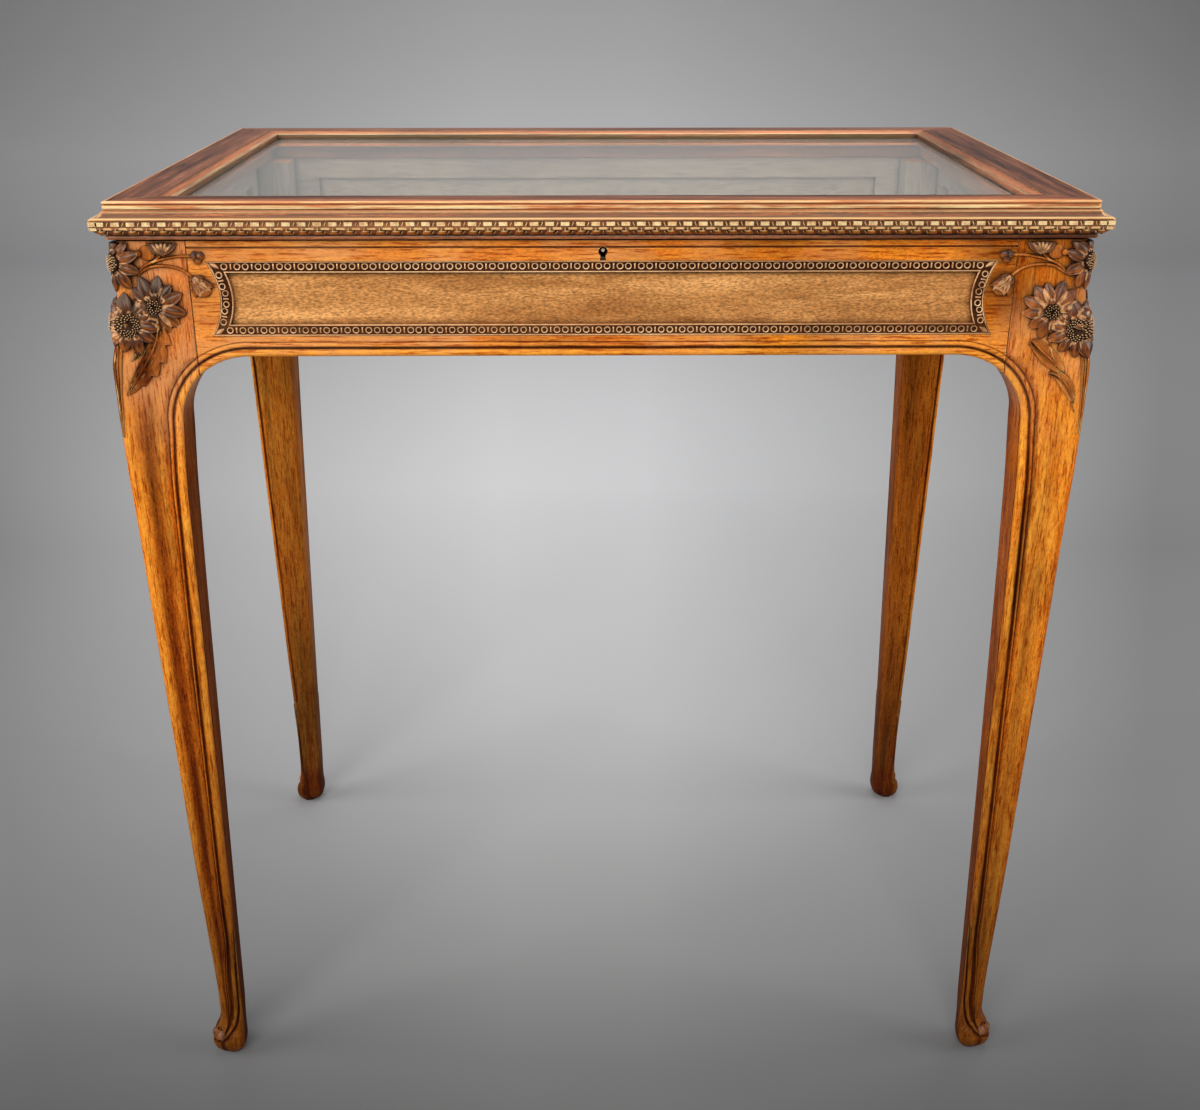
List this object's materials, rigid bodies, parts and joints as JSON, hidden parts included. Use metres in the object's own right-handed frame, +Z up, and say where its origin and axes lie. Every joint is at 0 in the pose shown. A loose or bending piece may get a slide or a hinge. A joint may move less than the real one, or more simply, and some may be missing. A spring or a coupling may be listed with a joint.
{
  "type": "collectors display table",
  "caption": "Glazed display table: hinged glass lid over a shallow lockable case, carved corners, scroll-footed legs joined by a running bead.",
  "frame": {"origin": "on the floor, under the middle of the table", "axes": "+Z up, +X to the right of a person at the keyhole side, +Y away from that person"},
  "size_m": [0.74, 0.48, 0.78],
  "materials": {
    "walnut": "waxed, golden brown, dark in the hollows",
    "lid_walnut": "waxed and worn, reddish brown",
    "panel_wood": "satin, tan with a fine flecked grain",
    "inside_wood": "bare and pale",
    "glass": "clear, slightly dusty",
    "brass": "aged",
    "steel": "dull"
  },
  "bodies": {
    "case": {"leg_front_left": "walnut", "leg_front_right": "walnut", "leg_back_left": "walnut", "leg_back_right": "walnut", "apron_front": "walnut", "apron_back": "walnut", "apron_left": "walnut", "apron_right": "walnut", "panel_front": "panel_wood", "panel_back": "panel_wood", "panel_left": "panel_wood", "panel_right": "panel_wood", "display_board": "inside_wood", "bearer_front": "inside_wood", "bearer_back": "inside_wood", "bearer_left": "inside_wood", "bearer_right": "inside_wood", "hinge_lower_leaf_left": "brass", "hinge_lower_leaf_right": "brass", "hinge_pin_left": "brass", "hinge_pin_right": "brass", "lock_case": "steel", "lock_cap": "brass"},
    "lid": {"lid_rail_front": "lid_walnut", "lid_rail_back": "lid_walnut", "lid_stile_left": "lid_walnut", "lid_stile_right": "lid_walnut", "lid_glass": "glass", "glazing_bead_front": "lid_walnut", "glazing_bead_back": "lid_walnut", "glazing_bead_left": "lid_walnut", "glazing_bead_right": "lid_walnut", "hinge_upper_leaf_left": "brass", "hinge_upper_leaf_right": "brass", "lock_link_plate": "brass"},
    "bolt": {"lock_bolt": "steel"}
  },
  "joints": [
    {"name": "lid_hinge", "type": "hinge", "parent": "case", "child": "lid", "pos_m": [0, 0.2315, 0.75175], "axis": [-1, 0, 0], "range_deg": [0, 95]},
    {"name": "lock_bolt_slide", "type": "slide", "parent": "case", "child": "bolt", "axis": [1, 0, 0], "range_m": [0, 0.005]}
  ]
}
